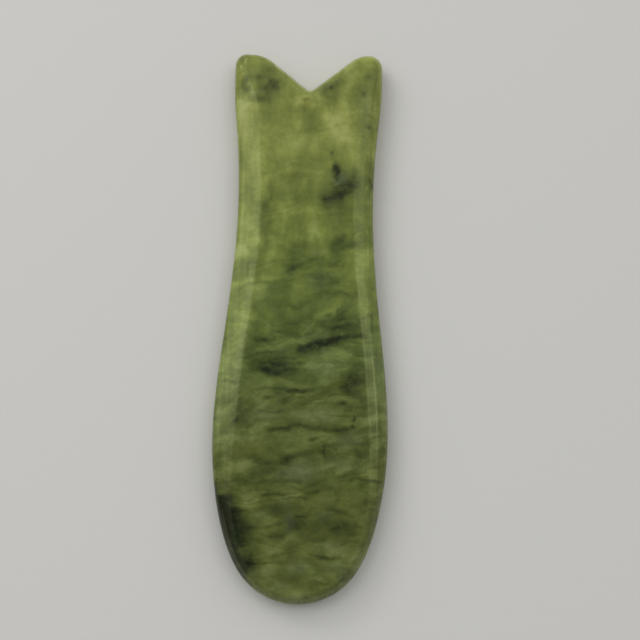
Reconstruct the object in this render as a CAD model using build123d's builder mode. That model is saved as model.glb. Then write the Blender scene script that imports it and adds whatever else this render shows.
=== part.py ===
"""Fish-shaped gua sha board, ground and polished from one piece of jade.

The board lies on its back face: length along Y with the forked tail at +Y and the
round head at -Y, width along X, thickness along Z. The origin is the middle of the
back face's bounding rectangle. Each face is flat in the middle. Two ground facets
lead down from it to a rounded rim: a shallow inner one and a steeper outer one. They
are wide along the left flank, narrower along the right, and narrow around the ends.
All lengths are in millimetres and all angles in degrees.
"""
import os
from math import cos, radians, sin
from build123d import *

# Overall size
LENGTH = 120.0
THICKNESS = 6.4
TAIL_Y = LENGTH / 2
NOSE_Y = -LENGTH / 2

# Round head
NOSE_RADIUS = 15.0
NOSE_CENTRE_Y = NOSE_Y + NOSE_RADIUS
NOSE_SWEEP = 60.0  # each side of the tip

# Flanks, from the head to the tail: (y, half width, share of the flank's own bevel)
FLANK = (
    (-41.0, 17.10, 0.30),
    (-27.0, 18.73, 0.85),
    (-12.0, 18.02, 1.00),
    (5.0, 16.10, 1.00),
    (27.0, 14.84, 1.00),
    (40.0, 15.45, 1.00),
    (47.0, 16.14, 1.10),
    (52.0, 16.43, 0.75),
)

# Forked tail: two rounded lobes with a V notch between them
NOTCH_ROOT_X = 0.4
NOTCH_ROOT_Y = 51.65
NOTCH_ROOT_RADIUS = 1.1
NOTCH_SLOPE = 39.0  # of each side of the V, from the X axis
LOBE_HALF_WIDTH = 16.45
# Each lobe's crest height, outer corner radius and the radius of its turn into the notch
LOBES = {"left": (TAIL_Y - 0.2, 2.5, 7.5), "right": (TAIL_Y, 3.0, 5.9)}

# How far each contour is set in from the rim, at the tail, the nose and the two flanks
CREASE = {"tail": 1.9, "nose": 2.3, "left": 5.0, "right": 4.1}  # edge of the flat face
SHOULDER = {"tail": 1.1, "nose": 1.4, "left": 3.5, "right": 2.3}  # between the two facets
LIP = {"tail": 0.45, "nose": 0.5, "left": 0.55, "right": 0.6}  # where the rim turns over
ROUND = {"tail": 0.12, "nose": 0.12, "left": 0.14, "right": 0.14}  # on the rim's round
RIM = {"tail": 0.0, "nose": 0.0, "left": 0.0, "right": 0.0}  # widest contour

# Depth of each contour below the face that it belongs to
SHOULDER_DEPTH = 0.32
LIP_DEPTH = 1.50
ROUND_DEPTH = 2.15


def polar(centre, radius, angle):
    """Point at an angle on a circle."""
    return (centre[0] + radius * cos(radians(angle)), centre[1] + radius * sin(radians(angle)))


def draw_half(side, inset):
    """Draw one half of a contour, from the end of the nose's arc to the notch's root."""
    sign = {"left": -1, "right": 1}[side]
    tail = inset["tail"]
    flank = inset[side]
    crest_y, outer_radius, turn_radius = LOBES[side]

    nose_end = polar((0, NOSE_CENTRE_Y), NOSE_RADIUS - inset["nose"], NOSE_SWEEP - 90)
    corner_centre = (LOBE_HALF_WIDTH - outer_radius, crest_y - outer_radius)
    corner_radius = outer_radius - tail
    corner_start = (corner_centre[0] + corner_radius, corner_centre[1])
    crest_start = (corner_centre[0], crest_y - tail)

    # The turn's circle touches the line at the crest's height and the side of the V
    slope = radians(NOTCH_SLOPE)
    root_centre = (sign * NOTCH_ROOT_X, NOTCH_ROOT_Y + NOTCH_ROOT_RADIUS)
    root_radius = NOTCH_ROOT_RADIUS + tail
    root_end = polar(root_centre, root_radius, NOTCH_SLOPE - 90)
    turn_centre_y = crest_y - turn_radius
    rise = turn_centre_y + (turn_radius - tail) * cos(slope) - root_end[1]
    turn_centre_x = root_end[0] + rise / (sin(slope) / cos(slope)) + (turn_radius - tail) * sin(slope)
    turn_end = polar((turn_centre_x, turn_centre_y), turn_radius - tail, 90 + NOTCH_SLOPE)
    turn_middle = polar((turn_centre_x, turn_centre_y), turn_radius - tail, 90 + NOTCH_SLOPE / 2)
    corner_middle = polar(corner_centre, corner_radius, 45)
    turn_start = (turn_centre_x, crest_y - tail)

    def place(point):
        return (sign * point[0], point[1])

    flank_points = [nose_end]
    for y, half_width, share in FLANK:
        flank_points.append((half_width - tail - share * (flank - tail), y))
    flank_points.append(corner_start)
    nose_heading = radians(NOSE_SWEEP)
    Spline(
        *[place(point) for point in flank_points],
        tangents=[place((cos(nose_heading), sin(nose_heading))), (0, 1)],
        tangent_scalars=(1, 1),
    )
    ThreePointArc(place(corner_start), place(corner_middle), place(crest_start))
    Line(place(crest_start), place(turn_start))
    ThreePointArc(place(turn_start), place(turn_middle), place(turn_end))
    Line(place(turn_end), place(root_end))


def draw_contour(inset):
    """Draw a whole contour of the board, set in from the rim."""
    CenterArc((0, NOSE_CENTRE_Y), NOSE_RADIUS - inset["nose"], -90 - NOSE_SWEEP, 2 * NOSE_SWEEP)
    draw_half("right", inset)
    CenterArc(
        (NOTCH_ROOT_X, NOTCH_ROOT_Y + NOTCH_ROOT_RADIUS),
        NOTCH_ROOT_RADIUS + inset["tail"],
        NOTCH_SLOPE - 90,
        -2 * NOTCH_SLOPE,
    )
    draw_half("left", inset)


def add_layer(levels, ruled):
    """Loft a layer of the board through its contours, given as (height, inset) pairs."""
    sections = []
    for height, inset in levels:
        with BuildSketch(Plane.XY.offset(height), mode=Mode.PRIVATE) as section:
            with BuildLine():
                draw_contour(inset)
            make_face()
        sections.append(section.sketch.face())
    loft(sections=sections, ruled=ruled)


with BuildPart() as jade_board:
    # Facets of the back face
    add_layer(((0, CREASE), (SHOULDER_DEPTH, SHOULDER), (LIP_DEPTH, LIP)), ruled=True)
    # Rounded rim
    add_layer(
        (
            (LIP_DEPTH, LIP),
            (ROUND_DEPTH, ROUND),
            (THICKNESS / 2, RIM),
            (THICKNESS - ROUND_DEPTH, ROUND),
            (THICKNESS - LIP_DEPTH, LIP),
        ),
        ruled=False,
    )
    # Facets of the front face
    add_layer(
        (
            (THICKNESS - LIP_DEPTH, LIP),
            (THICKNESS - SHOULDER_DEPTH, SHOULDER),
            (THICKNESS, CREASE),
        ),
        ruled=True,
    )

os.makedirs("parts", exist_ok=True)
jade_board.part.label = "jade_board"
export_step(jade_board.part, "parts/jade_board.step")
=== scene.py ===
"""Looks of the gua sha scraper: one polished slab of green jade on a pale floor.

The CAD stone is replaced by a denser mesh of the same shape, read from it ray by ray, with its
creases softened. The jade is one procedural material. The stone and its pattern are worked out
in millimetres, with the nose at -Y, the tail at +Y and the front face up. The floor, the lights
and the camera are in metres.
"""
import math

import bpy
import numpy as np
from mathutils import Matrix, Vector, noise
from mathutils.bvhtree import BVHTree
from mathutils.geometry import delaunay_2d_cdt


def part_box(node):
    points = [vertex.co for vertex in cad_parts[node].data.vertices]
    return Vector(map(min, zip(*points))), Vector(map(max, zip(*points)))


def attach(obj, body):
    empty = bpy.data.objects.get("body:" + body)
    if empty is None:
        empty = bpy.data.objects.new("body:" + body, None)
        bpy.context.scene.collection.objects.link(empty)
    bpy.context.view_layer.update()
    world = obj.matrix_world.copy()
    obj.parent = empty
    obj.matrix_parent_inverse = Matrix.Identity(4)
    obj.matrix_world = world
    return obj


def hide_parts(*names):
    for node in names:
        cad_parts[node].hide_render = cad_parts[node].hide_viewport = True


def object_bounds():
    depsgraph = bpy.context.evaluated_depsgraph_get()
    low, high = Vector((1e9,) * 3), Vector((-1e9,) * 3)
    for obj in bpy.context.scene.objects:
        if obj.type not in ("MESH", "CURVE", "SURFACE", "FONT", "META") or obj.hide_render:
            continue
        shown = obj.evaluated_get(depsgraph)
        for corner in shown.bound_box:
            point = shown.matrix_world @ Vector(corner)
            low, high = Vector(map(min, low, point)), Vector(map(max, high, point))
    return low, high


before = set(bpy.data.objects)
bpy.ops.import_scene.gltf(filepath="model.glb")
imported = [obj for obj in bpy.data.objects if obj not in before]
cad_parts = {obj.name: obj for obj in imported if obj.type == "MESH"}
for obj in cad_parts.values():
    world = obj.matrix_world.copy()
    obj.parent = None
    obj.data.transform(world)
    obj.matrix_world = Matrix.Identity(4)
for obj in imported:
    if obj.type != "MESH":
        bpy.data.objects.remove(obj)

MM = 0.001
CAD_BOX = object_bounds()
STONE_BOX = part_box("jade_board")
THICKNESS = (STONE_BOX[1][2] - STONE_BOX[0][2]) / MM
HALF_THICKNESS = THICKNESS / 2

# ---------------------------------------------------------------- shape of the stone
NOSE_PIVOT_Y = -45.0            # columns of the mesh fan out round these two points, and cross
TAIL_PIVOT_Y = 32.0             # the flanks squarely between them
FLANK_STEPS = 1500              # trial rays along each flank and round each end
FAN_STEPS = 3000
COLUMNS = 640                   # rays that are kept
TURN_WEIGHT = 1.3               # how strongly they gather where the outline turns sharply
TURN_WINDOW = 41                # trial rays over which the turn is averaged
# Depths below the front face at which the CAD surface is read, down to half the thickness.
LEVELS = (0.004, 0.32, 0.62, 0.92, 1.21, 1.50, 1.72, 1.94, 2.15, 2.40, 2.75, 3.20)
CREASE_LEVELS = (0.004, 0.32, 1.50, 2.15)       # where two ground surfaces meet
LEVELS_BEYOND = 5               # levels read back in mirror image past half the thickness
FINE_STEP = 0.05                # along a profile
SOFTENING = 0.36                # how far a ground crease is rounded over
TAIL_SOFTENING = 1.00           # the edges of the tail are rubbed rounder
TAIL_FROM_Y, TAIL_FULL_Y = 45.0, 52.0
KERNEL_SPAN = 2                 # the rounding reaches this many softenings each way
RUN_IN = 4 * SOFTENING          # a profile starts this far inside the flat face's crease
FIRST_RING = 0.2 * RUN_IN
RIM_RINGS = 28                  # from the flat face to half the thickness
RINGS = 2 * RIM_RINGS - 1
MITRE_WINDOW = 15               # columns over which the mitres between facets are rounded
WEAR_AND_SHEEN_WIDTH = 0.35               # of the rubbed line along a crease, which also carries a painted sheen
FACE_SPACING = 1.1              # of the points on the flat faces
EDGE_CLEARANCE = 0.55 * FACE_SPACING
TINY = 1e-12                    # keeps a slope from dividing by zero
SAME_POINT = 1e-6
SWELL = 0.036                   # hand grinding leaves the flats slightly wavy
SWELL_LENGTH = 11.0
SWELL_SEED = Vector((3.1, 8.4, 1.7))
RIPPLE = 0.012
RIPPLE_LENGTH = 3.4
RIPPLE_SEED = Vector((9.2, 0.6, 5.5))


def cad_tree():
    """Search tree of the CAD stone's own surface."""
    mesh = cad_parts["jade_board"].data
    points = [vertex.co / MM for vertex in mesh.vertices]
    return BVHTree.FromPolygons(points, [tuple(face.vertices) for face in mesh.polygons])


def trial_rays():
    """Start and heading of closely spaced rays that cross the outline, in order round it."""
    starts, angles = [], []
    span = TAIL_PIVOT_Y - NOSE_PIVOT_Y
    for step in range(FLANK_STEPS):
        starts.append((0.0, NOSE_PIVOT_Y + span * step / FLANK_STEPS))
        angles.append(0.0)
    for step in range(FAN_STEPS):
        starts.append((0.0, TAIL_PIVOT_Y))
        angles.append(math.pi * step / FAN_STEPS)
    for step in range(FLANK_STEPS):
        starts.append((0.0, TAIL_PIVOT_Y - span * step / FLANK_STEPS))
        angles.append(math.pi)
    for step in range(FAN_STEPS):
        starts.append((0.0, NOSE_PIVOT_Y))
        angles.append(math.pi + math.pi * step / FAN_STEPS)
    angles = np.array(angles)
    return np.array(starts), np.stack([np.cos(angles), np.sin(angles)], axis=1)


def reach(tree, start, heading, depth):
    """Distance from the middle of the stone to its surface, at one depth below the front face."""
    origin = Vector((start[0], start[1], THICKNESS - depth))
    hit = tree.ray_cast(origin, Vector((heading[0], heading[1], 0.0)))
    return hit[3]


def pick_columns(tree):
    """Rays spaced evenly along the outline, and closer together round the lobes and the notch."""
    starts, headings = trial_rays()
    far = [reach(tree, start, heading, HALF_THICKNESS) for start, heading in zip(starts, headings)]
    outline = starts + headings * np.array(far)[:, None]
    step = np.roll(outline, -1, axis=0) - outline
    length = np.linalg.norm(step, axis=1)
    bearing = np.unwrap(np.arctan2(step[:, 1], step[:, 0]))
    turning = np.abs(np.gradient(bearing))
    kernel = np.hanning(TURN_WINDOW) / np.hanning(TURN_WINDOW).sum()
    wrapped = np.concatenate([turning[-TURN_WINDOW:], turning, turning[:TURN_WINDOW]])
    turning = np.convolve(wrapped, kernel, mode="same")[TURN_WINDOW:-TURN_WINDOW]
    weight = np.cumsum(length + TURN_WEIGHT * turning)
    wanted = weight[-1] * (np.arange(COLUMNS) + 0.5) / COLUMNS
    chosen = np.searchsorted(weight, wanted)
    return starts[chosen], headings[chosen]


def rounded(values, softening):
    """Values along a profile, smoothed over one crease radius."""
    steps = int(KERNEL_SPAN * softening / FINE_STEP)
    offsets = np.arange(-steps, steps + 1) * FINE_STEP
    kernel = np.exp(-(offsets / softening) ** 2)
    padded = np.pad(values, steps, mode="reflect", reflect_type="odd")
    return np.convolve(padded, kernel / kernel.sum(), mode="valid")


def column_profile(tree, start, heading):
    """Rows of softened distance, depth and nearness to a crease, from flat face to mid height."""
    levels = np.array(LEVELS)
    distance = np.array([reach(tree, start, heading, depth) for depth in LEVELS])
    distance = np.maximum.accumulate(distance)
    beyond = slice(-2, -2 - LEVELS_BEYOND, -1)
    radial = np.concatenate([[distance[0] - RUN_IN], distance, distance[beyond]])
    depth = np.concatenate([[0.0, 0.0], levels[1:], 2 * levels[-1] - levels[beyond]])
    along = np.concatenate([[0.0], np.cumsum(np.hypot(np.diff(radial), np.diff(depth)))])
    fine = np.arange(0.0, along[-1], FINE_STEP)
    edge_y = start[1] + heading[1] * distance[0]
    tail = np.clip((edge_y - TAIL_FROM_Y) / (TAIL_FULL_Y - TAIL_FROM_Y), 0.0, 1.0)
    softening = SOFTENING + (TAIL_SOFTENING - SOFTENING) * tail
    radial = rounded(np.interp(fine, along, radial), softening)
    depth = rounded(np.interp(fine, along, depth), softening)
    wanted = np.linspace(FIRST_RING, along[len(LEVELS)], RIM_RINGS)
    creases = along[[1 + LEVELS.index(level) for level in CREASE_LEVELS]]
    nearest = np.abs(wanted[:, None] - creases[None, :]).min(axis=1)
    columns = [np.interp(wanted, fine, radial), np.interp(wanted, fine, depth), nearest]
    return np.stack(columns, axis=1)


def rounded_mitres(profiles):
    """The same profiles, evened out from column to column; the outline itself stays as it is."""
    outline = profiles[:, -1:, :1]
    inset = np.concatenate([outline - profiles[:, :, :1], profiles[:, :, 1:]], axis=2)
    kernel = np.hanning(MITRE_WINDOW + 2)[1:-1]
    kernel /= kernel.sum()
    evened = np.zeros_like(inset)
    for offset, share in enumerate(kernel):
        evened += share * np.roll(inset, offset - MITRE_WINDOW // 2, axis=0)
    return np.concatenate([outline - evened[:, :, :1], evened[:, :, 1:]], axis=2)


def lies_inside(ring, x, y):
    """Whether a point is inside a closed ring, and clear of its points."""
    after = np.roll(ring, -1, axis=0)
    crosses = (ring[:, 1] > y) != (after[:, 1] > y)
    run, rise = (after - ring).T
    crossing_x = ring[:, 0] + (y - ring[:, 1]) * run / (rise + TINY)
    inside = np.count_nonzero(crosses & (x < crossing_x)) % 2 == 1
    return inside and np.hypot(ring[:, 0] - x, ring[:, 1] - y).min() > EDGE_CLEARANCE


def face_points(ring):
    """Points spread over the flat face in staggered rows, inside its outer ring."""
    low, high = ring.min(axis=0), ring.max(axis=0)
    found = []
    row = 0
    y = low[1]
    while y < high[1]:
        x = low[0] + (row % 2) * FACE_SPACING / 2
        while x < high[0]:
            if lies_inside(ring, x, y):
                found.append((x, y))
            x += FACE_SPACING
        y += FACE_SPACING * math.sqrt(3) / 2
        row += 1
    return found


def ground_sides(starts, headings, profiles):
    """Points, weights for rubbing and painted sheen, and quads of the ground facets and the rim,
    ring by ring from front to back.
    """
    points, crease_wear_and_sheen, faces = [], [], []
    for ring in range(RINGS):
        in_front = ring < RIM_RINGS
        level = ring if in_front else RINGS - 1 - ring
        for column in range(COLUMNS):
            radial, depth, nearest = profiles[column, level]
            place = starts[column] + headings[column] * radial
            points.append((place[0], place[1], THICKNESS - depth if in_front else depth))
            crease_wear_and_sheen.append(math.exp(-(nearest / WEAR_AND_SHEEN_WIDTH) ** 2))
    for ring in range(RINGS - 1):
        upper, lower = ring * COLUMNS, (ring + 1) * COLUMNS
        for column in range(COLUMNS):
            beside = (column + 1) % COLUMNS
            faces.append((upper + column, lower + column, lower + beside, upper + beside))
    return points, crease_wear_and_sheen, faces


def add_flat_faces(points, crease_wear_and_sheen, faces):
    """Closes the front and the back of the sides with even triangles."""
    ring = np.array([point[:2] for point in points[:COLUMNS]])
    spread = face_points(ring)
    flat = [Vector(tuple(place)) for place in ring] + [Vector(place) for place in spread]
    made = delaunay_2d_cdt(flat, [], [list(range(COLUMNS))], 1, SAME_POINT)
    triangles = [[made[3][corner][0] for corner in triangle] for triangle in made[2]]
    last_ring = (RINGS - 1) * COLUMNS
    for ring_start, height, order in ((0, THICKNESS, 1), (last_ring, 0.0, -1)):
        spread_shift = len(points) - COLUMNS
        for place in spread:
            points.append((place[0], place[1], height))
            crease_wear_and_sheen.append(0.0)
        for triangle in triangles:
            corners = [c + (ring_start if c < COLUMNS else spread_shift) for c in triangle]
            faces.append(tuple(corners[::order]))


def grind(mesh):
    """Presses the gentle unevenness of hand grinding into the surface, never outwards."""
    mesh.update()
    moves = []
    for vertex in mesh.vertices:
        place = vertex.co / MM
        swell = noise.noise(place / SWELL_LENGTH + SWELL_SEED)
        ripple = noise.noise(place / RIPPLE_LENGTH + RIPPLE_SEED)
        press = SWELL * (0.5 + 0.5 * swell) + RIPPLE * (0.5 + 0.5 * ripple)
        moves.append(-vertex.normal * press * MM)
    for vertex, move in zip(mesh.vertices, moves):
        vertex.co += move


def make_stone():
    """The polished stone, closed and smooth, with a rub mark along each crease that also sets a
    painted sheen.
    """
    tree = cad_tree()
    starts, headings = pick_columns(tree)
    profiles = [column_profile(tree, start, heading) for start, heading in zip(starts, headings)]
    points, crease_wear_and_sheen, faces = ground_sides(starts, headings, rounded_mitres(np.array(profiles)))
    add_flat_faces(points, crease_wear_and_sheen, faces)
    mesh = bpy.data.meshes.new("jade_stone")
    mesh.from_pydata([Vector(point) * MM for point in points], [], faces)
    mesh.validate()
    grind(mesh)
    # weights along each crease: rubbing raises the roughness, and a painted sheen pales the colour
    layer = mesh.attributes.new("edge_wear_and_sheen", "FLOAT", "POINT")
    layer.data.foreach_set("value", crease_wear_and_sheen)
    mesh.polygons.foreach_set("use_smooth", [True] * len(mesh.polygons))
    mesh.update()
    stone = bpy.data.objects.new("jade_stone", mesh)
    bpy.context.scene.collection.objects.link(stone)
    return stone


# ---------------------------------------------------------------- pattern of the jade
# Tone runs from 0, black, to 1, white, as the eye sees it. The ground tone changes slowly along
# the stone: y, then the tone there.
GROUND_TONES = (
    (-60.0, 0.402), (-52.0, 0.388), (-44.0, 0.372), (-38.0, 0.375), (-31.0, 0.412), (-22.0, 0.408),
    (-16.0, 0.402), (-8.0, 0.398), (2.0, 0.446), (12.0, 0.452), (20.0, 0.450), (30.0, 0.454),
    (38.0, 0.514), (46.0, 0.502), (60.0, 0.436),
)
# Linear colour of the jade at each tone.
TONE_COLOURS = (
    (0.00, (0.004, 0.005, 0.0020)), (0.10, (0.009, 0.012, 0.0050)), (0.18, (0.021, 0.032, 0.0120)),
    (0.23, (0.043, 0.054, 0.0160)), (0.31, (0.087, 0.107, 0.0275)), (0.39, (0.146, 0.175, 0.0430)),
    (0.47, (0.224, 0.257, 0.0600)), (0.54, (0.312, 0.345, 0.0860)), (0.62, (0.430, 0.455, 0.1450)),
)
# Tint along the stone: yellowest at the tail, greenest in the middle.
GROUND_TINTS = (
    (-60.0, (0.985, 0.98, 1.00)), (-38.0, (0.985, 0.98, 1.00)), (-22.0, (0.950, 0.985, 1.00)),
    (-6.0, (0.900, 0.995, 1.00)), (12.0, (0.915, 1.0, 0.97)), (28.0, (0.950, 0.995, 0.95)),
    (42.0, (0.985, 0.99, 0.96)), (60.0, (0.985, 0.99, 0.84)),
)
# What full milkiness and full olive add to the colour.
MILKY_SHIFT = (0.008, 0.009, 0.040)
OLIVE_SHIFT = (0.020, 0.000, -0.012)

# Veins of the front face: half width, strength, then the points that each runs through.
VEINS = (
    (1.75, 0.74, ((-1.0, -6.7), (1.4, -6.3), (3.6, -5.6), (5.6, -4.8), (8.0, -4.3))),
    (1.00, 0.52, ((5.6, -4.5), (8.0, -4.0), (10.0, -3.8), (12.0, -3.6), (13.4, -3.6))),
    (0.90, 0.50, ((-9.8, -4.9), (-6.4, -4.6), (-2.6, -3.7), (0.6, -3.2), (2.6, -2.6))),
    (0.59, 0.27, ((-10.0, -15.3), (-6.5, -15.1), (-3.0, -15.0), (0.4, -15.4))),
    (0.81, 0.34, ((-4.5, -16.1), (-2.0, -15.6), (1.5, -15.3))),
    (0.53, 0.22, ((-8.4, -19.8), (-6.0, -20.0), (-3.6, -20.0))),
    (0.91, 0.42, ((-6.5, -24.3), (-4.0, -23.5), (-2.0, -23.0), (0.3, -22.9), (2.6, -23.4),
                  (5.4, -23.6), (8.4, -23.6), (11.5, -23.0))),
    (1.50, 0.26, ((-10.0, -29.7), (-7.2, -30.5), (-4.4, -30.7), (-2.0, -30.0), (0.4, -28.8),
                  (3.0, -28.3), (5.5, -28.4))),
    (0.53, 0.25, ((5.2, -26.8), (5.0, -28.6), (5.0, -30.4))),
    (0.65, 0.21, ((-5.2, -35.0), (-2.4, -34.4), (0.4, -34.8))),
    (0.80, 0.26, ((-1.8, -35.8), (0.2, -36.1), (2.4, -37.0), (5.2, -36.2))),
    (0.59, 0.18, ((-7.4, -37.5), (-5.6, -37.3), (-3.8, -37.2))),
    (0.65, 0.30, ((11.2, -33.6), (14.0, -34.0), (17.6, -34.6))),
    (0.59, 0.18, ((-1.2, -41.4), (0.5, -42.1), (2.3, -41.3), (2.5, -39.8))),
    (0.70, 0.32, ((-11.0, -44.4), (-8.4, -44.3), (-5.8, -43.9), (-3.0, -43.2))),
    (0.70, 0.22, ((6.6, -44.5), (8.6, -44.2), (10.6, -44.0))),
    (0.59, 0.32, ((2.4, -49.5), (5.0, -50.1), (7.6, -50.1), (10.4, -49.9))),
    (0.65, 0.32, ((-11.4, -51.8), (-8.4, -51.6), (-5.2, -51.2))),
    (0.48, 0.22, ((3.2, -54.7), (5.0, -55.2), (6.8, -55.5))),
    (1.60, 0.44, ((3.8, 26.2), (5.4, 26.4), (7.0, 26.9), (8.6, 27.7), (10.4, 29.0))),
    (0.70, 0.16, ((4.8, 29.8), (6.2, 29.0), (8.4, 29.2))),
    (0.80, 0.60, ((6.8, 33.6), (6.9, 32.0), (6.9, 30.4))),
    (0.60, 0.18, ((-7.7, 25.8), (-7.3, 27.0), (-7.0, 28.2))),
    (0.90, 0.22, ((-1.2, 11.7), (0.8, 12.4), (2.8, 12.9))),
    (0.60, 0.35, ((-12.2, 8.8), (-12.2, 10.6), (-12.1, 12.4))),
)
# Spots: centre x, centre y, heading in degrees, half length, half width, strength.
SPOTS = (
    # tail lobes
    (-14.0, 51.4, 80, 3.4, 2.2, 0.70), (-7.4, 51.6, 20, 3.8, 2.3, 0.74),
    (-12.0, 53.4, 6, 4.0, 1.6, 0.45), (-11.4, 48.6, -8, 4.8, 1.6, 0.40),
    (-8.4, 52.4, 50, 1.8, 0.9, 0.30), (6.0, 52.0, 0, 3.4, 2.4, 0.22),
    (5.0, 51.6, 0, 0.9, 0.8, 0.50), (7.4, 56.6, 34, 2.4, 0.8, 0.45),
    (13.2, 54.2, 0, 1.8, 1.6, 0.46), (12.5, 50.3, 0, 1.4, 1.3, 0.30),
    (13.7, 42.6, 0, 1.3, 1.2, 0.65), (-0.7, 48.6, 0, 1.2, 0.9, 0.60),
    (-1.0, 46.8, 0, 2.4, 1.4, 0.30),
    # knot below the tail
    (5.6, 36.6, 0, 1.1, 0.9, 0.60), (6.6, 33.4, 84, 1.9, 1.5, 0.95),
    (10.4, 30.0, 50, 4.6, 3.4, 0.36), (6.2, 27.4, 14, 4.6, 3.0, 0.36),
    (14.3, 30.0, 90, 1.8, 1.4, 0.50), (4.6, 25.4, 0, 3.0, 1.8, 0.20),
    # upper middle
    (7.6, 17.4, 30, 2.6, 1.7, 0.48), (9.4, 16.0, 20, 2.4, 1.5, 0.48),
    (11.0, 16.2, 0, 1.6, 1.2, 0.40), (-2.4, 10.9, 50, 2.6, 1.9, 0.60),
    (5.3, 1.0, 0, 1.6, 1.1, 0.50),
    # blotches across the middle
    (-8.0, -10.6, -6, 4.8, 2.6, 0.34), (-6.0, -11.0, -14, 4.8, 2.4, 0.40),
    (-6.6, -12.0, -8, 3.0, 1.2, 0.22), (-2.6, -11.0, -20, 3.4, 1.0, 0.34),
    (10.8, -12.6, 66, 4.4, 2.8, 0.30), (9.4, -14.6, 24, 3.0, 1.4, 0.22),
    (3.8, -5.8, 12, 4.6, 2.0, 0.34),
    # dots and patches of the head
    (-7.0, -17.0, 0, 2.0, 0.7, 0.45), (9.1, -18.0, 0, 1.1, 0.9, 0.65),
    (11.4, -21.3, 80, 1.2, 0.9, 0.60), (11.2, -22.9, 0, 1.0, 0.8, 0.55),
    (2.7, -25.7, 0, 1.8, 1.1, 0.50), (-3.4, -30.2, 16, 4.0, 1.8, 0.10),
    (-14.3, -33.0, 80, 4.0, 2.8, 0.40), (-6.5, -32.3, 0, 3.0, 1.0, 0.25),
    (-5.0, -40.8, 0, 3.2, 2.0, 0.12), (11.5, -44.5, 0, 1.8, 1.4, 0.20),
    (-14.2, -22.2, 62, 2.0, 0.8, 0.45),
)
# Broad clouds and the black stain on the nose's left flank, in the same form as the spots.
SMOKE_CLOUDS = (
    (-10.6, 51.8, 0, 7.6, 5.6, 0.60), (8.5, 30.0, 70, 6.4, 4.6, 0.72),
    (5.6, -5.4, 8, 6.0, 2.8, 0.50), (8.0, -0.6, 0, 8.0, 5.0, 0.66),
    (-6.0, -9.8, -10, 7.6, 4.2, 0.62), (10.4, -13.0, 60, 6.0, 4.0, 0.52),
    (-5.2, -40.6, 0, 4.6, 3.4, 0.26), (-13.4, -20.2, 80, 5.0, 3.4, 0.66),
    (13.8, 42.0, 88, 14.0, 4.6, 0.62), (14.8, 29.6, 86, 8.0, 4.8, 1.05),
    (5.0, 52.4, 30, 5.0, 3.4, 0.24), (8.2, -27.8, 12, 6.4, 3.4, 0.30),
    (-1.0, -44.5, 4, 9.0, 3.6, 0.34), (6.5, 8.0, 80, 8.0, 5.0, 0.28),
    (-9.0, -33.6, 10, 8.0, 4.0, 0.26), (13.0, -27.0, 80, 6.0, 3.0, 0.28),
    (-9.5, -51.5, 60, 5.5, 3.4, 0.50), (-14.4, 10.0, 84, 6.0, 2.8, 0.46),
    (-15.0, 40.0, 88, 8.0, 3.2, 0.34), (16.0, 1.0, 84, 6.4, 2.8, 0.60),
)
# Pale clouds. The long ones along the flanks, at x from -9 to -17 and from 12.6 to 15.6, are
# painted highlights of the bevels, not paler stone.
PALE_CLOUDS_AND_BEVEL_SHEEN = (
    (6.2, 43.6, 84, 6.4, 6.0, 0.74), (-4.3, 50.3, 90, 3.6, 0.9, 0.40),
    (-5.0, 45.8, 0, 4.4, 3.4, 0.36), (-9.3, 36.0, 84, 13.0, 3.2, 0.14),
    (-11.4, 22.0, 88, 17.0, 3.4, 0.42), (-3.6, 17.6, 10, 5.0, 4.0, 0.72),
    (3.0, 18.5, 0, 5.0, 3.6, 0.42), (-4.4, 23.7, 0, 1.4, 1.2, 0.45),
    (-2.0, 7.0, 10, 6.6, 4.4, 0.20), (-12.6, 0.0, 78, 12.0, 3.6, 0.55),
    (-11.2, 19.0, 88, 8.0, 2.6, 0.30), (13.2, 59.0, 0, 4.0, 2.4, 0.35),
    (6.3, 29.3, 24, 2.2, 0.5, 0.40), (-15.2, -9.0, 78, 8.0, 3.4, 0.34),
    (12.6, 14.0, 84, 9.0, 2.6, 0.22), (5.0, -20.6, 5, 5.6, 2.6, 0.34),
    (-16.8, -21.6, 78, 7.0, 2.2, 0.40), (2.0, -25.4, 12, 6.0, 2.4, 0.26),
    (15.6, -16.0, 84, 8.0, 2.6, 0.30), (9.0, 36.5, 0, 5.0, 2.2, 0.16),
)
MILKY_CLOUDS = (
    (7.6, 30.6, 60, 3.0, 2.2, 0.75), (-12.4, 50.2, 0, 3.6, 1.6, 0.40),
    (-12.2, 52.9, 10, 1.9, 1.3, 0.60), (13.0, 47.5, 88, 8.0, 3.0, 0.30),
    (-9.0, 6.0, 30, 5.0, 4.0, 0.36), (3.0, 8.4, 20, 4.6, 3.2, 0.34), (3.0, 14.4, 5, 3.6, 1.2, 0.36),
    (10.4, -25.6, 12, 4.6, 2.6, 0.42), (0.0, -32.4, 10, 7.5, 3.8, 0.62),
    (6.5, -48.0, 5, 4.6, 2.2, 0.34), (0.4, -52.2, 6, 4.6, 2.4, 0.42),
    (7.4, -52.0, -5, 4.0, 2.0, 0.38), (-2.6, -56.2, 10, 3.2, 1.6, 0.38),
    (-7.6, -53.4, 0, 3.0, 1.8, 0.26), (4.8, -10.6, -4, 5.6, 2.2, 0.34),
    (-8.5, -20.6, 6, 6.5, 2.8, 0.36), (3.4, -20.8, 0, 6.5, 2.8, 0.40),
    (-7.5, -41.8, 0, 3.0, 1.8, 0.24), (5.4, -41.6, 0, 3.4, 1.8, 0.26),
    (9.5, -31.0, 0, 6.0, 2.4, 0.30),
)
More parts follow.
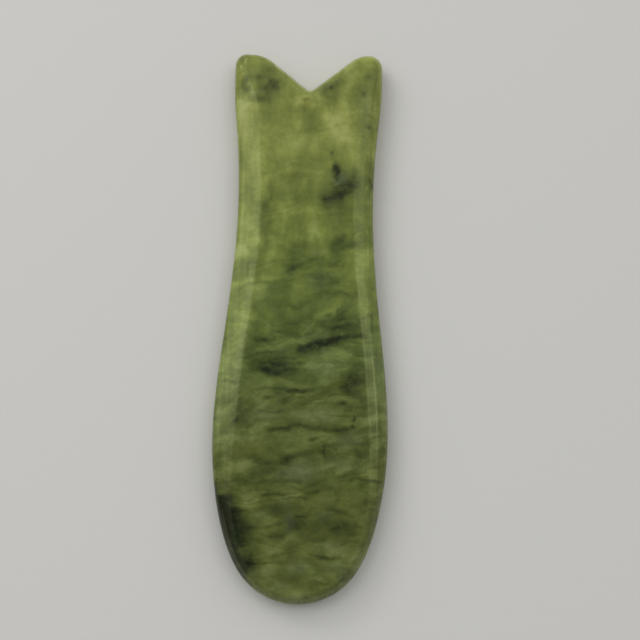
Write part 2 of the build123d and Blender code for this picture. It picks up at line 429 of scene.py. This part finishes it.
OLIVE_CLOUDS = (
    (-0.3, 47.8, 0, 2.2, 1.4, 0.50), (-4.0, 42.5, 0, 2.6, 1.8, 0.35),
    (-3.5, 31.5, 0, 3.2, 2.2, 0.40), (10.5, 7.0, 80, 3.6, 2.6, 0.30),
    (7.4, -13.9, 4, 3.6, 1.2, 0.40), (-13.0, 33.0, 84, 5.0, 2.4, 0.20),
    (-10.5, -28.0, 0, 5.0, 2.6, 0.30), (14.2, -46.5, -70, 5.0, 1.8, 0.35),
)
STAINS = (
    (-18.6, -39.6, 84, 8.6, 7.8, 1.10), (-17.2, -45.4, 106, 11.0, 8.6, 0.95),
    (-13.6, -51.6, 124, 8.4, 6.6, 0.62), (-13.6, -42.6, 60, 5.6, 4.6, 0.28),
    (-11.6, -48.0, 100, 8.0, 4.6, 0.20),
)
# Veins of the hidden back face, of the same kind.
BACK_VEINS = (
    (0.60, 0.55, ((0.5, 41.6), (3.5, 41.0), (6.5, 41.8))),
    (1.20, 0.70, ((-7.2, 28.0), (-6.6, 25.6), (-5.0, 23.6))),
    (0.85, 0.75, ((3.0, 11.2), (6.0, 12.0), (9.0, 12.2), (12.0, 13.0))),
    (0.95, 0.90, ((-9.0, 3.4), (-6.0, 2.6), (-3.0, 1.8), (0.0, 1.6), (3.0, 0.6))),
    (0.80, 0.70, ((1.0, -12.4), (4.0, -13.2), (7.0, -13.4), (10.0, -14.4))),
    (0.80, 0.75, ((-9.0, -21.8), (-6.0, -21.0), (-3.0, -20.6), (0.0, -21.2))),
    (0.90, 0.65, ((4.0, -27.0), (7.0, -28.0), (10.0, -28.6), (13.0, -28.2))),
    (0.70, 0.70, ((-6.0, -37.4), (-3.0, -37.0), (0.0, -36.6), (3.0, -36.8), (6.0, -37.6))),
    (0.65, 0.60, ((-8.0, -51.4), (-5.0, -52.0), (-2.0, -52.6))),
)
FRONT_DEPTH = 5.4               # marks of one face die out this far into the stone
THROUGH_DEPTH = 11.0            # broad clouds and the stain go right through
STAIN_HEIGHT = 0.7 * THICKNESS
LAYER_TILT = math.radians(8.0)  # the layers climb towards +X
LAYERS_PER_MM = 0.30            # folds across the stone
LAYER_BEND = 6.0                # how far noise bends them, in layers
ASKEW = (0.7, 0.5, 0.6)         # turn of the noise coordinates, in radians
NO_SHIFT = (0.0, 0.0, 0.0)
DRIFT_REACH = 12.0              # how far the ground tone wanders along the stone
RAGGEDNESS = 1.9                # how much noise breaks up clouds and marks
DARKEST_TONE = 0.09
DARKEST_COLOUR = (0.003, 0.003, 0.001)
STRONGEST_MARK, STRONGEST_STAIN = 1.1, 1.0
# Noise fields: features per millimetre, octaves, roughness, distortion.
FIELDS = {
    "coarse warp": (0.22, 2.0), "fine warp": (1.1, 2.0), "drift": (0.09, 1.0),
    "broad cells": (0.135, 5.0, 0.60, 0.4), "narrow cells": (0.250, 5.0, 0.60, 0.4),
    "patches": (0.13, 2.0), "streaks": (0.20, 3.0, 0.55), "blotches": (0.27, 4.0, 0.55),
    "grain": (1.7, 3.0, 0.6), "hairs": (1.15, 3.0, 0.6), "bend": (0.16, 4.0, 0.46),
    "breaks": (0.24, 2.0), "ragged": (0.6, 3.0, 0.6), "grinding": (1.3, 2.0),
    "smear": (0.30, 3.0, 0.6), "scratches": (1.0, 3.0, 0.65), "pits": (2.6, 4.0, 0.6),
}
# How much each axis is squeezed before a field is read; under 1 draws its features out.
STRETCHES = {
    "across": (0.42, 1.0, 0.6), "lengthwise": (1.0, 0.42, 0.8), "blotches": (0.9, 1.0, 1.0),
    "grinding": (1.0, 0.05, 0.4), "smear": (1.0, 0.35, 1.0), "scratches": (5.0, 0.5, 5.0),
}
# How far the warps move the pattern, in millimetres.
COARSE_WARP = (1.8, 1.6, 1.8)
FINE_WARP = (0.7, 0.45, 0.7)
# How far each layer of the pattern shifts the tone.
GAINS = {
    "broad cells": 0.125, "narrow cells": 0.070, "streaks": 0.42, "blotches": 0.22, "grain": 0.060,
    # Of these, the thin edges are painted light shining through the stone, and the crease sheen and
    # the bevel sheen among the pale clouds are painted highlights.
    "hairs": 0.06, "folds": -0.062, "pale clouds and bevel sheen": 0.145, "smoke": -0.155, "milky clouds": 0.075,
    "olive clouds": -0.035, "thin edges": 0.055, "grinding": 0.18, "marks": -0.225,
    "stain": -0.25, "painted crease sheen": 0.030,
}
# Values of a field or mask that leave the tone as it is.
MIDDLES = {"broad cells": 0.42, "narrow cells": 0.50, "hairs": 0.52, "folds": 0.35}
# Smooth steps: where each starts and ends, then its value at the start and at the end.
FADES = {
    # along Y
    "tail to head": (20.0, -12.0, 0.0, 1.0), "cells to head": (26.0, -10.0, 0.35, 1.0),
    "cells at nose": (-46.0, -30.0, 0.60, 1.0), "light at nose": (-30.0, -12.0, 0.25, 1.0),
    "milk to head": (2.0, -18.0, 0.0, 1.0),
    # away from the middle of the thickness
    "thin edges": (HALF_THICKNESS - 0.02, HALF_THICKNESS - 1.2, 0.0, 1.0),
    "duller sides": (HALF_THICKNESS - 0.6, HALF_THICKNESS - 2.0, 0.0, 1.0),
    # of a field, a mask or the tone
    "broad cells": (0.0, 0.20, 0.0, 1.0), "narrow cells": (0.0, 0.18, 0.0, 1.0),
    "patches": (0.36, 0.60, 0.15, 1.0), "fold falls": (0.0, 0.60, 1.0, 0.0),
    "fold rises": (0.88, 1.0, 0.0, 1.0), "breaks": (0.38, 0.62, 0.0, 1.0),
    "marks": (0.05, 0.50, 0.0, 1.0), "grain of the painted crease sheen": (0.40, 0.66, 0.1, 1.0),
    "milky streaks": (0.06, 0.25, 0.0, 0.4), "milky cells": (0.35, 0.50, 0.0, 0.60),
    "polish": (0.30, 0.75, 0.13, 0.22), "duller marks": (0.1, 0.7, 0.0, 1.0),
}
# What the ground sides, the worn creases and the dark marks add to the roughness.
DULL_SIDES, DULL_CREASES, DULL_MARKS = 0.10, 0.07, 0.05
PIT_SHARE, SCRATCH_SHARE = 0.7, 0.3
RELIEF_STRENGTH, RELIEF_DEPTH = 0.16, 0.05 * MM
JADE_SURFACE = {
    "IOR": 1.5, "Specular Tint": (0.95, 1.0, 0.55, 1.0), "Subsurface Weight": 0.15,
    "Subsurface Radius": (1.0, 1.2, 0.45), "Subsurface Scale": 1.6 * MM,
}


class Nodes:
    """Short ways to add shader nodes to one node tree."""

    def __init__(self, tree):
        self.tree = tree

    def add(self, kind, *inputs, **settings):
        """A node of one kind; each input is a value or another node's socket."""
        made = self.tree.nodes.new("ShaderNode" + kind)
        for name, value in settings.items():
            setattr(made, name, value)
        for place, value in enumerate(inputs):
            if isinstance(value, bpy.types.NodeSocket):
                self.tree.links.new(value, made.inputs[place])
            else:
                made.inputs[place].default_value = value
        return made

    def math(self, operation, *inputs):
        return self.add("Math", *inputs, operation=operation).outputs[0]

    def vector(self, operation, *inputs):
        return self.add("VectorMath", *inputs, operation=operation).outputs[0]

    def noise(self, vector, scale, detail=2.0, rough=0.5, distortion=0.0):
        """A node of soft noise from 0 to 1 round one half."""
        made = self.add("TexNoise", noise_dimensions="3D")
        self.tree.links.new(vector, made.inputs["Vector"])
        made.inputs["Scale"].default_value = scale
        made.inputs["Detail"].default_value = detail
        made.inputs["Roughness"].default_value = rough
        made.inputs["Distortion"].default_value = distortion
        return made

    def ramp(self, value, low, high, low_to=0.0, high_to=1.0):
        """Smooth step from low to high."""
        made = self.add("MapRange", value, low, high, low_to, high_to,
                        interpolation_type="SMOOTHSTEP", clamp=False)
        return made.outputs[0]

    def blend(self, factor, first, second):
        """A blend of two constant colours."""
        made = self.add("Mix", data_type="RGBA")
        self.tree.links.new(factor, made.inputs[0])
        made.inputs[6].default_value = (*first, 1.0)
        made.inputs[7].default_value = (*second, 1.0)
        return made.outputs[2]

    def colours(self, value, rows):
        """Colours at rows of places from 0 to 1, blended evenly."""
        made = self.add("ValToRGB", value)
        made.color_ramp.interpolation = "LINEAR"
        stops = made.color_ramp.elements
        for number, (place, colour) in enumerate(rows):
            stop = stops[number] if number < 2 else stops.new(place)
            stop.position = place
            stop.color = (*colour, 1.0)
        return made.outputs[0]

    def curve(self, value, rows):
        """A line through rows of place and value, or place and colour."""
        first, last = rows[0][0], rows[-1][0]
        spots = []
        for place, result in rows:
            colour = result if isinstance(result, tuple) else (result,) * 3
            spots.append(((place - first) / (last - first), colour))
        share = self.add("MapRange", value, first, last, 0.0, 1.0).outputs[0]
        return self.colours(share, spots)

    def bump(self, relief, strength, distance):
        """The normal of a surface with fine relief."""
        made = self.add("Bump")
        made.inputs["Strength"].default_value = strength
        made.inputs["Distance"].default_value = distance
        self.tree.links.new(relief, made.inputs["Height"])
        return made.outputs[0]

    def surface(self, settings, links):
        """The shader, with constants on its own sockets, and the output."""
        shader = self.add("BsdfPrincipled")
        for name, setting in settings.items():
            shader.inputs[name].default_value = setting
        for name, socket in links.items():
            self.tree.links.new(socket, shader.inputs[name])
        output = self.add("OutputMaterial")
        self.tree.links.new(shader.outputs[0], output.inputs["Surface"])
        return shader


def new_material(name, kind):
    """A material with an empty node tree, and the given kind of Nodes to fill it with."""
    material = bpy.data.materials.new(name)
    material.use_nodes = True
    material.node_tree.nodes.clear()
    return material, kind(material.node_tree)


class Jade(Nodes):
    """The jade's nodes: coordinates and masks, then its tone, one layer of pattern at a time."""

    def __init__(self, tree):
        super().__init__(tree)
        scaled = self.add("VectorMath", self.add("TexCoord").outputs["Object"], operation="SCALE")
        scaled.inputs["Scale"].default_value = 1.0 / MM
        self.place = scaled.outputs[0]
        self.warped = self.warp()
        self.y, self.z = self.add("SeparateXYZ", self.place).outputs[1:]
        self.tone = None

    def field(self, name, vector):
        """One of the noise fields."""
        return self.noise(vector, *FIELDS[name]).outputs[0]

    def fade(self, name, value):
        """One of the smooth steps."""
        return self.ramp(value, *FADES[name])

    def stretched(self, name, vector):
        """Squeezed coordinates, askew so that a noise's squares don't line up with the stone."""
        made = self.add("Mapping", vector, NO_SHIFT, ASKEW, STRETCHES[name], vector_type="POINT")
        return made.outputs[0]

    def times(self, first, second):
        return self.math("MULTIPLY", first, second)

    def less(self, value, middle=0.5):
        return self.math("SUBTRACT", value, middle)

    def shift(self, name, amount):
        """Adds one layer of the pattern to the tone."""
        self.tone = self.math("MULTIPLY_ADD", amount, GAINS[name], self.tone)

    def warp(self):
        """Ragged, drifting coordinates, which keep the marks from looking drawn."""
        half = (0.5, 0.5, 0.5)
        coarse, fine = (
            self.vector("SUBTRACT", self.noise(self.place, *FIELDS[name]).outputs["Color"], half)
            for name in ("coarse warp", "fine warp"))
        warped = self.vector("ADD", self.place, self.vector("MULTIPLY", coarse, COARSE_WARP))
        return self.vector("ADD", warped, self.vector("MULTIPLY", fine, FINE_WARP))

    def add_ground(self):
        """Slow change of tone along the stone."""
        drift = self.less(self.field("drift", self.place))
        y = self.add("SeparateXYZ", self.warped).outputs[1]
        self.tone = self.curve(self.math("MULTIPLY_ADD", drift, DRIFT_REACH, y), GROUND_TONES)

    def add_cells(self):
        """Puffy cells parted by dark wisps, drawn out across the stone, strongest in the head."""
        tilted = self.add("Mapping", self.warped, NO_SHIFT, (0.0, 0.0, -LAYER_TILT),
                          vector_type="POINT")
        self.tilted = tilted.outputs[0]
        self.across = self.stretched("across", self.tilted)
        self.lengthwise = self.stretched("lengthwise", self.warped)
        self.in_head = self.times(self.fade("cells to head", self.y),
                                  self.fade("cells at nose", self.y))
        broad, narrow = self.cells("broad cells"), self.cells("narrow cells")
        patches = self.fade("patches", self.field("patches", self.across))
        broad = self.times(self.less(broad, MIDDLES["broad cells"]), self.in_head)
        narrow = self.less(narrow, MIDDLES["narrow cells"])
        narrow = self.times(narrow, self.times(self.in_head, patches))
        self.shift("broad cells", broad)
        self.shift("narrow cells", narrow)

    def cells(self, name):
        """0 along thin branching lines, where a noise is at its middle, and 1 between them."""
        from_middle = self.math("ABSOLUTE", self.less(self.field(name, self.across)))
        return self.fade(name, from_middle)

    def add_clouding(self):
        """Soft lengthwise streaks in the tail half; blotches, grain and fine hairs all over."""
        in_tail = self.math("SUBTRACT", 1.0, self.fade("tail to head", self.y))
        self.streaks = self.less(self.field("streaks", self.lengthwise))
        self.shift("streaks", self.times(self.streaks, in_tail))
        blotches = self.field("blotches", self.stretched("blotches", self.warped))
        self.shift("blotches", self.less(blotches))
        self.grain = self.field("grain", self.warped)
        self.shift("grain", self.less(self.grain))
        hairs = self.less(self.field("hairs", self.across), MIDDLES["hairs"])
        self.shift("hairs", self.times(self.math("MINIMUM", hairs, 0.0), self.in_head))

    def add_folds(self):
        """Layers across the stone, each with a dark line on one side that fades to the next."""
        bend = self.field("bend", self.across)
        level = self.times(self.add("SeparateXYZ", self.tilted).outputs[1], LAYERS_PER_MM)
        phase = self.math("FRACT", self.math("MULTIPLY_ADD", bend, LAYER_BEND, level))
        fold = self.math("MAXIMUM", self.fade("fold falls", phase), self.fade("fold rises", phase))
        breaks = self.fade("breaks", self.field("breaks", self.across))
        fold = self.times(self.less(fold, MIDDLES["folds"]), self.in_head)
        self.shift("folds", self.times(fold, breaks))

    def add_clouds(self):
        """Clouds that are placed where the stone has them, and painted highlights along the bevels.
        """
        ragged = self.less(self.field("ragged", self.place))
        self.ragged = self.math("MULTIPLY_ADD", ragged, RAGGEDNESS, 1.0)
        self.milky, self.olive = self.cloud(MILKY_CLOUDS), self.cloud(OLIVE_CLOUDS)
        # pale clouds, with painted highlights along the bevels
        self.shift("pale clouds and bevel sheen", self.cloud(PALE_CLOUDS_AND_BEVEL_SHEEN))
        self.shift("smoke", self.cloud(SMOKE_CLOUDS))
        self.shift("milky clouds", self.milky)
        self.shift("olive clouds", self.olive)

    def cloud(self, rows):
        """Clouds that go right through the stone, with ragged edges."""
        return self.times(self.spots(rows, THICKNESS, THROUGH_DEPTH), self.ragged)

    def add_edges(self):
        """Paler sides, painted light shining through where the stone is thin, with faint lines left
        by the grinding.
        """
        self.from_middle = self.math("ABSOLUTE", self.less(self.z, HALF_THICKNESS))
        thin = self.fade("thin edges", self.from_middle)
        # painted light: the thin sides are made paler as if lit through
        self.shift("thin edges", self.times(thin, self.fade("light at nose", self.y)))
        lines = self.field("grinding", self.stretched("grinding", self.place))
        self.shift("grinding", self.times(self.less(lines), thin))

    def add_marks(self):
        """Dark marks of each face and the stain, darkest in their middles."""
        grit = self.math("MULTIPLY_ADD", self.less(self.grain), 1.0, 1.0)
        front = self.math("ADD", self.spots(SPOTS, THICKNESS, FRONT_DEPTH),
                          self.veins(VEINS, THICKNESS, FRONT_DEPTH))
        marks = self.math("ADD", front, self.veins(BACK_VEINS, 0.0, FRONT_DEPTH))
        self.marks = self.times(marks, self.times(grit, self.ragged))
        stain = self.times(self.spots(STAINS, STAIN_HEIGHT, THROUGH_DEPTH), self.ragged)
        self.shift("marks", self.math("MINIMUM", self.marks, STRONGEST_MARK))
        self.shift("stain", self.math("MINIMUM", stain, STRONGEST_STAIN))
        self.tone = self.math("MAXIMUM", self.tone, DARKEST_TONE)
        covered = self.fade("marks", self.math("MAXIMUM", self.marks, stain))
        self.clear = self.math("SUBTRACT", 1.0, covered)

    def add_wear_and_sheen(self):
        """Painted sheen: creases made paler where they catch the light."""
        wear_and_sheen = self.add("Attribute", attribute_type="GEOMETRY", attribute_name="edge_wear_and_sheen")
        self.wear_and_sheen = wear_and_sheen.outputs["Fac"]
        crease_sheen = self.times(self.times(self.wear_and_sheen, self.clear), self.fade("grain of the painted crease sheen", self.grain))
        # painted highlight: a pale line along each crease
        self.shift("painted crease sheen", crease_sheen)

    def spot(self, row, face_height, depth):
        """Strength of one soft oval spot."""
        x, y, heading, half_length, half_width, strength = row
        turn, size = (0.0, 0.0, math.radians(heading)), (half_length, half_width, depth)
        placed = self.add("Mapping", self.warped, (x, y, face_height), turn, size,
                          vector_type="TEXTURE")
        inside = self.add("TexGradient", placed.outputs[0], gradient_type="SPHERICAL")
        return self.ramp(inside.outputs["Fac"], 0.0, 1.0, 0.0, strength)

    def spots(self, rows, face_height, depth):
        """Summed strength of soft oval spots, halved again and again to keep the sums short."""
        if len(rows) == 1:
            return self.spot(rows[0], face_height, depth)
        half = len(rows) // 2
        return self.math("ADD", self.spots(rows[:half], face_height, depth),
                         self.spots(rows[half:], face_height, depth))

    def veins(self, rows, face_height, depth):
        """Summed strength of veins, each a chain of ovals that add up to an even, tapered line."""
        ovals = []
        for half_width, strength, points in rows:
            for start, end in zip(points, points[1:]):
                run, rise = end[0] - start[0], end[1] - start[1]
                middle_x, middle_y = (start[0] + end[0]) / 2, (start[1] + end[1]) / 2
                heading, half_length = math.degrees(math.atan2(rise, run)), math.hypot(run, rise)
                ovals.append((middle_x, middle_y, heading, half_length, half_width, strength))
        return self.spots(ovals, face_height, depth)

    def colour(self):
        """Colour of the tone, greyer where it is milky, yellower where it is olive."""
        colour = self.colours(self.tone, TONE_COLOURS)
        streaks = self.math("MAXIMUM", self.milky, self.fade("milky streaks", self.streaks))
        milky = self.times(streaks, self.clear)
        cells = self.times(self.fade("milky cells", self.tone), self.fade("milk to head", self.y))
        milky = self.math("ADD", milky, self.times(cells, self.clear))
        for amount, change in ((milky, MILKY_SHIFT), (self.olive, OLIVE_SHIFT)):
            amount = self.add("CombineXYZ", amount, amount, amount).outputs[0]
            colour = self.vector("MULTIPLY_ADD", amount, change, colour)
        colour = self.vector("MULTIPLY", colour, self.curve(self.y, GROUND_TINTS))
        return self.vector("MAXIMUM", colour, DARKEST_COLOUR)

    def roughness(self):
        """Polish: glossy, duller on the ground sides, along worn creases and over dark marks."""
        roughness = self.fade("polish", self.field("smear", self.stretched("smear", self.place)))
        sides = self.fade("duller sides", self.from_middle)
        roughness = self.math("MULTIPLY_ADD", sides, DULL_SIDES, roughness)
        roughness = self.math("MULTIPLY_ADD", self.wear_and_sheen, DULL_CREASES, roughness)
        marks = self.fade("duller marks", self.marks)
        return self.math("MULTIPLY_ADD", marks, DULL_MARKS, roughness)

    def relief(self):
        """Fine pitting and rubbing marks."""
        scratches = self.field("scratches", self.stretched("scratches", self.place))
        pits = self.field("pits", self.place)
        return self.math("MULTIPLY_ADD", pits, PIT_SHARE, self.times(scratches, SCRATCH_SHARE))


def make_jade():
    material, jade = new_material("jade", Jade)
    jade.add_ground()
    jade.add_cells()
    jade.add_clouding()
    jade.add_folds()
    jade.add_clouds()
    jade.add_edges()
    jade.add_marks()
    jade.add_wear_and_sheen()
    colour, roughness = jade.colour(), jade.roughness()
    normal = jade.bump(jade.relief(), RELIEF_STRENGTH, RELIEF_DEPTH)
    links = {"Base Color": colour, "Roughness": roughness, "Normal": normal}
    shader = jade.surface(JADE_SURFACE, links)
    shader.subsurface_method = "RANDOM_WALK"
    return material


# ---------------------------------------------------------------- floor, light and camera
FLOOR_SIZE = 6.0
FLOOR_COLOUR = (0.80, 0.785, 0.745)
DIMMER_FLOOR_COLOUR = tuple(0.9 * part for part in FLOOR_COLOUR)
FLOOR_TOOTH = (900.0, 4.0)      # fine paper tooth: features per metre, octaves
FLOOR_SHADES = (0.3, 0.7, 0.97, 1.0)
FLOOR_RELIEF_STRENGTH, FLOOR_RELIEF_DEPTH = 0.25, 0.1 * MM
FLOOR_SURFACE = {"Roughness": 0.9, "Specular IOR Level": 0.2}
DOME_STRENGTH = 0.98
DOME_COLOUR = (0.98, 0.99, 1.0, 1.0)
DARK_STRENGTH = 0.10            # of the patch that the flat face mirrors, where the camera is
DARK_HALF_WIDTH = 0.17          # the dark patch, in tangents of the angle from straight up
DARK_HALF_LENGTH = 0.36
DARK_CENTRE = 0.02
DARK_EDGE = (0.55, 1.25)        # where the patch starts and stops fading, in half sizes
LOWEST_RISE = 0.05              # directions under this rise count as rising this much
HORIZON_BAND = (0.1, 0.8)       # the dome is dimmer near the horizon
HORIZON_SHARE = 0.50
NOSE_SIDE_BAND = (0.38, -0.02)  # the dome is dimmer on the side of the nose
NOSE_SIDE_SHARE = 0.35
NOSE_SIDE_SPREAD = 1.30         # over 1, so that the step is soft near the horizon
# Soft panels that the bevels mirror: name, centre, size, radiance. All face straight down.
PANELS = (
    ("left_panel", (-0.31, 0.128, 0.60), (0.30, 0.17), 1.2),
    ("far_left_panel", (-0.70, 0.20, 0.60), (0.46, 0.35), 0.5),
    ("tail_panel", (-0.54, 0.58, 0.50), (0.5, 0.4), 2.6),
    ("right_near_strip", (0.12, 0.080, 0.60), (0.05, 0.13), 2.4),
    ("right_panel", (0.255, 0.140, 0.60), (0.08, 0.04), 1.6),
    ("right_far_strip", (0.42, 0.070, 0.60), (0.14, 0.11), 2.2),
)
AIM_OFFSET = (3.7, 0.2)         # mm from the middle of the stone to what the camera looks at
CAMERA_DISTANCE = 0.2491
CAMERA_TILT = math.radians(8.31)    # from straight down, towards the nose
CAMERA_ROLL = math.radians(1.245)
CAMERA_LENS = 64.7              # mm, on a sensor 36 mm wide
CAMERA_SENSOR = 36.0
CAMERA_NEAREST = 0.01


def make_floor():
    """A plain floor like pale paper, at the height that the stone lies on."""
    mesh = bpy.data.meshes.new("floor")
    half = FLOOR_SIZE / 2
    height = CAD_BOX[0][2]
    corners = [(x * half, y * half, height) for x, y in ((-1, -1), (1, -1), (1, 1), (-1, 1))]
    mesh.from_pydata(corners, [], [(0, 1, 2, 3)])
    floor = bpy.data.objects.new("floor", mesh)
    bpy.context.scene.collection.objects.link(floor)
    material, nodes = new_material("pale_paper", Nodes)
    tooth = nodes.noise(nodes.add("TexCoord").outputs["Object"], *FLOOR_TOOTH).outputs[0]
    tint = nodes.blend(nodes.ramp(tooth, *FLOOR_SHADES), DIMMER_FLOOR_COLOUR, FLOOR_COLOUR)
    normal = nodes.bump(tooth, FLOOR_RELIEF_STRENGTH, FLOOR_RELIEF_DEPTH)
    nodes.surface(FLOOR_SURFACE, {"Base Color": tint, "Normal": normal})
    mesh.materials.append(material)


def make_world():
    """A pale dome with a dark oblong patch where the face of the stone mirrors the camera."""
    world = bpy.data.worlds.new("room")
    world.use_nodes = True
    nodes = Nodes(world.node_tree)
    direction = nodes.add("TexCoord").outputs["Generated"]
    rightward, tailward, upward = nodes.add("SeparateXYZ", direction).outputs
    upward = nodes.math("MAXIMUM", upward, LOWEST_RISE)
    across = nodes.math("DIVIDE", nodes.math("DIVIDE", rightward, upward), DARK_HALF_WIDTH)
    along = nodes.math("SUBTRACT", nodes.math("DIVIDE", tailward, upward), DARK_CENTRE)
    along = nodes.math("DIVIDE", along, DARK_HALF_LENGTH)
    squares = nodes.math("MULTIPLY_ADD", across, across, nodes.math("MULTIPLY", along, along))
    away = nodes.math("SQRT", squares)
    strength = nodes.ramp(away, *DARK_EDGE, DARK_STRENGTH, DOME_STRENGTH)
    lean = nodes.math("DIVIDE", tailward, nodes.math("SUBTRACT", NOSE_SIDE_SPREAD, upward))
    nose_side = nodes.ramp(lean, *NOSE_SIDE_BAND, 1.0, NOSE_SIDE_SHARE)
    strength = nodes.math("MULTIPLY", strength, nose_side)
    overhead = nodes.ramp(upward, *HORIZON_BAND, HORIZON_SHARE, 1.0)
    strength = nodes.math("MULTIPLY", strength, overhead)
    background = world.node_tree.nodes["Background"]
    background.inputs["Color"].default_value = DOME_COLOUR
    world.node_tree.links.new(strength, background.inputs["Strength"])
    bpy.context.scene.world = world


def make_panel(name, centre, size, radiance):
    """A rectangular soft light that faces straight down."""
    light = bpy.data.lights.new(name, "AREA")
    light.shape = "RECTANGLE"
    light.size, light.size_y = size
    light.energy = radiance * 4 * size[0] * size[1]
    lamp = bpy.data.objects.new(name, light)
    lamp.location = centre
    bpy.context.scene.collection.objects.link(lamp)


def make_camera():
    """A camera nearly straight above the stone, tilted towards the nose and slightly rolled."""
    low, high = Vector(STONE_BOX[0]), Vector(STONE_BOX[1])
    target = (low + high) / 2 + Vector((*AIM_OFFSET, 0.0)) * MM
    picture_up = Vector((-math.sin(CAMERA_ROLL), math.cos(CAMERA_ROLL), 0.0))
    right = Vector((math.cos(CAMERA_ROLL), math.sin(CAMERA_ROLL), 0.0))
    straight_up = Vector((0.0, 0.0, 1.0))
    backward = math.cos(CAMERA_TILT) * straight_up - math.sin(CAMERA_TILT) * picture_up
    up = backward.cross(right)
    camera = bpy.data.cameras.new("camera")
    camera.lens = CAMERA_LENS
    camera.sensor_width = CAMERA_SENSOR
    camera.clip_start = CAMERA_NEAREST
    holder = bpy.data.objects.new("camera", camera)
    axes = Matrix((right, up, backward)).transposed()
    holder.matrix_world = Matrix.Translation(target + backward * CAMERA_DISTANCE) @ axes.to_4x4()
    bpy.context.scene.collection.objects.link(holder)
    bpy.context.scene.camera = holder


stone = make_stone()
stone.data.materials.append(make_jade())
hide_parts("jade_board")
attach(stone, "root")
make_floor()
make_world()
for panel in PANELS:
    make_panel(*panel)
make_camera()
bpy.context.scene.view_settings.view_transform = "Standard"
